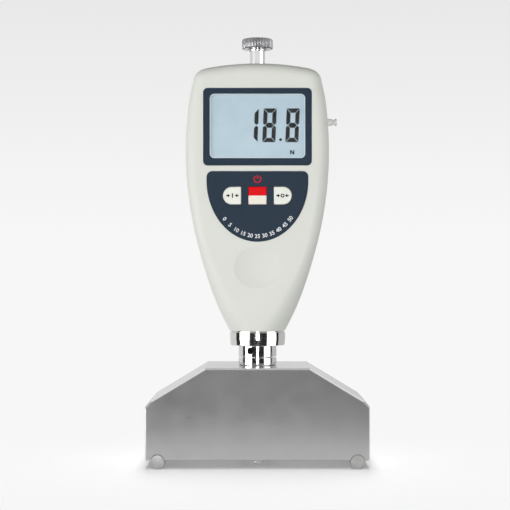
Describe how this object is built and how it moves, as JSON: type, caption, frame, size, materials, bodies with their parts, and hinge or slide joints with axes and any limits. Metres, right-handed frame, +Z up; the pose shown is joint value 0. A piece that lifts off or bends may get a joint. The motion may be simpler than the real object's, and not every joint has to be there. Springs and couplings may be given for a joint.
{
  "type": "screen mesh tension meter",
  "caption": "Hand-held digital mesh tension meter: tapered grey housing with display and keys on a metal base with support rods and a sprung feeler.",
  "frame": {"origin": "middle of the footprint, on the surface that the support rods stand on", "axes": "+Z up through the stem and the housing, -Y towards the display side, +X to the right as the display is read"},
  "size_m": [0.0986, 0.042, 0.1919],
  "materials": {
    "housing_plastic": "moulded plastic, fine matt texture",
    "film_navy": "printed polyester film, satin",
    "window_clear": "clear film window",
    "lcd_glass": "pale blue-grey display glass",
    "holder_white": "moulded plastic",
    "contact_rubber": "striped contact rubber",
    "board_green": "lacquered circuit board",
    "chip_black": "moulded package",
    "key_ivory": "satin plastic key",
    "key_red": "satin plastic key",
    "switch_black": "moulded plastic",
    "bright_chrome": "polished bright plating",
    "tube_steel": "ground steel",
    "screw_steel": "dark plated steel",
    "bush_brass": "turned brass",
    "winding_copper": "enamelled copper wire",
    "core_ferrite": "sintered ferrite",
    "base_aluminium": "fine blasted and anodised, bright chamfers",
    "cell_jacket": "plain shrink sleeve with bare metal ends",
    "contact_nickel": "nickel plated spring steel",
    "stud_grey": "moulded plastic"
  },
  "bodies": {
    "root": {"base_block": "base_aluminium", "support_rod_left": "tube_steel", "support_rod_right": "tube_steel", "base_set_screw": "screw_steel", "base_adapter": "bright_chrome", "stem_sleeve": "bright_chrome", "clamp_screw": "screw_steel", "stem_collar": "bright_chrome", "inner_tube": "tube_steel", "guide_bush": "bush_brass", "upper_guide": "bush_brass", "return_spring": "tube_steel", "sensor_bobbin": "holder_white", "sensor_winding": "winding_copper", "front_shell": "housing_plastic", "rear_shell": "housing_plastic", "case_screw_1": "screw_steel", "case_screw_2": "screw_steel", "case_screw_3": "screw_steel", "case_screw_4": "screw_steel", "strap_stud": "stud_grey", "display_frame": "film_navy", "display_window": "window_clear", "lcd_panel": "lcd_glass", "lcd_holder": "holder_white", "contact_strip_upper": "contact_rubber", "contact_strip_lower": "contact_rubber", "main_board": "board_green", "board_screw_left": "screw_steel", "board_screw_right": "screw_steel", "controller_chip": "chip_black", "keypad_overlay": "film_navy", "left_switch_case": "switch_black", "power_switch_case": "switch_black", "right_switch_case": "switch_black", "top_bush": "bush_brass", "cell_1": "cell_jacket", "cell_2": "cell_jacket", "cell_3": "cell_jacket", "cell_4": "cell_jacket", "cell_box": "holder_white", "contact_top_left": "contact_nickel", "contact_top_right": "contact_nickel", "contact_bottom_left": "contact_nickel", "contact_bottom_middle": "contact_nickel", "contact_bottom_right": "contact_nickel"},
    "feeler": {"feeler_holder": "base_aluminium", "feeler_rod": "tube_steel", "plunger": "tube_steel", "sensor_core": "core_ferrite"},
    "left_key": {"left_key": "key_ivory", "left_switch_stem": "holder_white"},
    "power_key": {"power_key": "key_red", "power_switch_stem": "holder_white"},
    "right_key": {"right_key": "key_ivory", "right_switch_stem": "holder_white"},
    "thumb_washer": {"thumb_washer": "bright_chrome"},
    "thumb_screw": {"thumb_screw": "bright_chrome"},
    "battery_door": {"battery_door": "housing_plastic"}
  },
  "joints": [
    {"name": "feeler_slide", "type": "slide", "parent": "root", "child": "feeler", "axis": [0, 0, 1], "range_m": [-0.0015, 0.002], "stiffness_N_per_m": 500, "springref_m": -0.0035, "deforming": ["return_spring"]},
    {"name": "left_key_press", "type": "slide", "parent": "root", "child": "left_key", "axis": [0, 1, 0], "range_m": [0, 0.0006], "stiffness_N_per_m": 2000},
    {"name": "power_key_press", "type": "slide", "parent": "root", "child": "power_key", "axis": [0, 1, 0], "range_m": [0, 0.0006], "stiffness_N_per_m": 2000},
    {"name": "right_key_press", "type": "slide", "parent": "root", "child": "right_key", "axis": [0, 1, 0], "range_m": [0, 0.0006], "stiffness_N_per_m": 2000},
    {"name": "thumb_screw_rise", "type": "slide", "parent": "root", "child": "thumb_washer", "axis": [0, 0, 1], "range_m": [-0.005, 0.002]},
    {"name": "thumb_screw_turn", "type": "hinge", "parent": "thumb_washer", "child": "thumb_screw", "pos_m": [0, 0, 0.1874], "axis": [0, 0, 1], "range_deg": [-1805, 722]},
    {"name": "battery_door_open", "type": "hinge", "parent": "root", "child": "battery_door", "pos_m": [0, 0.0134, 0.16435], "axis": [1, 0, 0], "range_deg": [0, 60]}
  ],
  "couplings": [
    {"joint": "thumb_screw_turn", "follows": "thumb_screw_rise", "rad_per_m": 6283.2}
  ]
}
